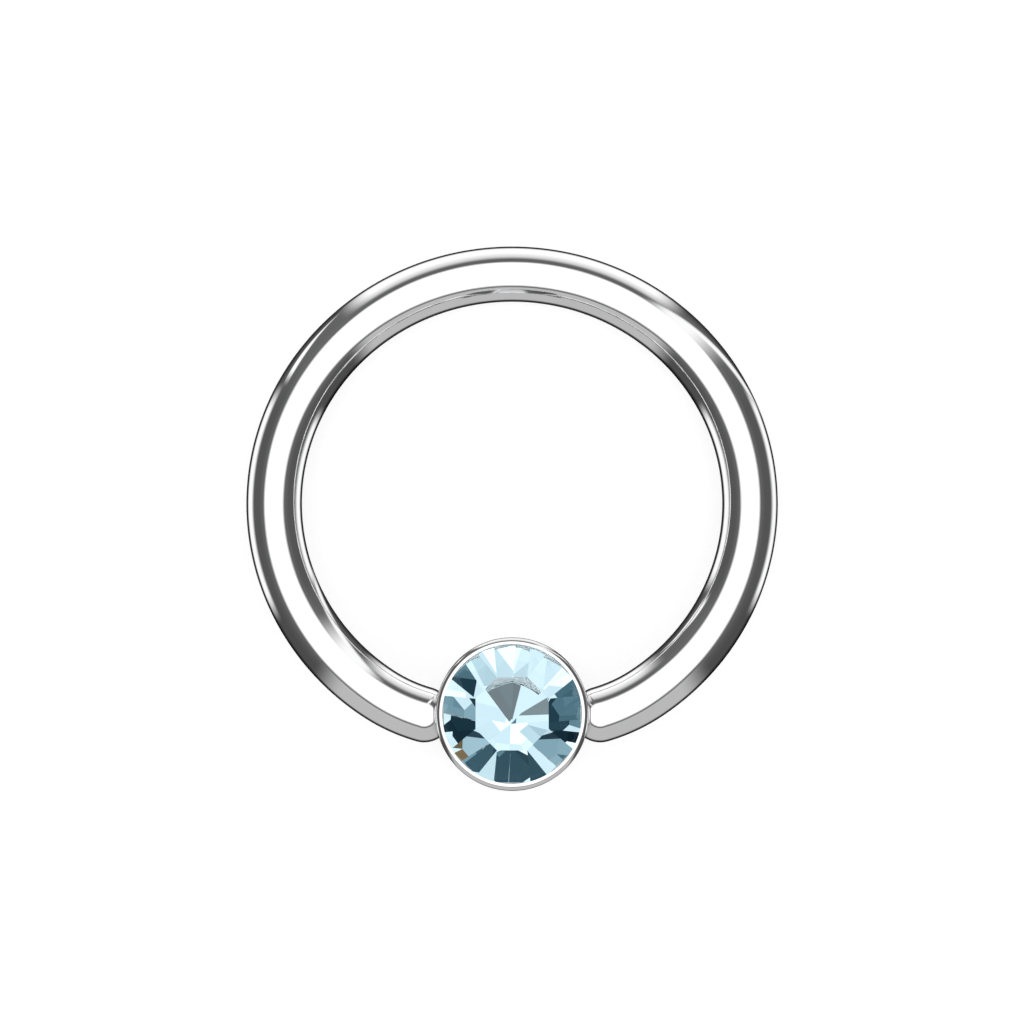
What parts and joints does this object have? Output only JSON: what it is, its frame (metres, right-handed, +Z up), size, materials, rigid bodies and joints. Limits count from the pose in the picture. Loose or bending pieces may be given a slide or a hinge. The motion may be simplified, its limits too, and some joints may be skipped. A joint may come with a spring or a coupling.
{
  "type": "captive bead ring",
  "caption": "Open ring of round wire closed by a short cylinder bead that turns on the wire's ball ends and holds a round faceted stone.",
  "frame": {"origin": "middle of the footprint on the surface that the ring lies on", "axes": "+Z up out of that surface and, within 6 degrees, out of the stone's face; +Y from the bead to the ring's far side; +X along the line through the wire's two ball ends"},
  "size_m": [0.0152, 0.016, 0.0047],
  "materials": {
    "polished_steel": "mirror polished surgical steel",
    "aqua_crystal": "polished facets, foiled behind"
  },
  "bodies": {
    "ring": {"ring_wire": "polished_steel"},
    "bead": {"bead_body": "polished_steel", "stone": "aqua_crystal"}
  },
  "joints": [
    {"name": "bead_turn", "type": "hinge", "parent": "ring", "child": "bead", "pos_m": [0, -0.00572, 0.00254], "axis": [1, 0, 0], "continuous": true}
  ]
}
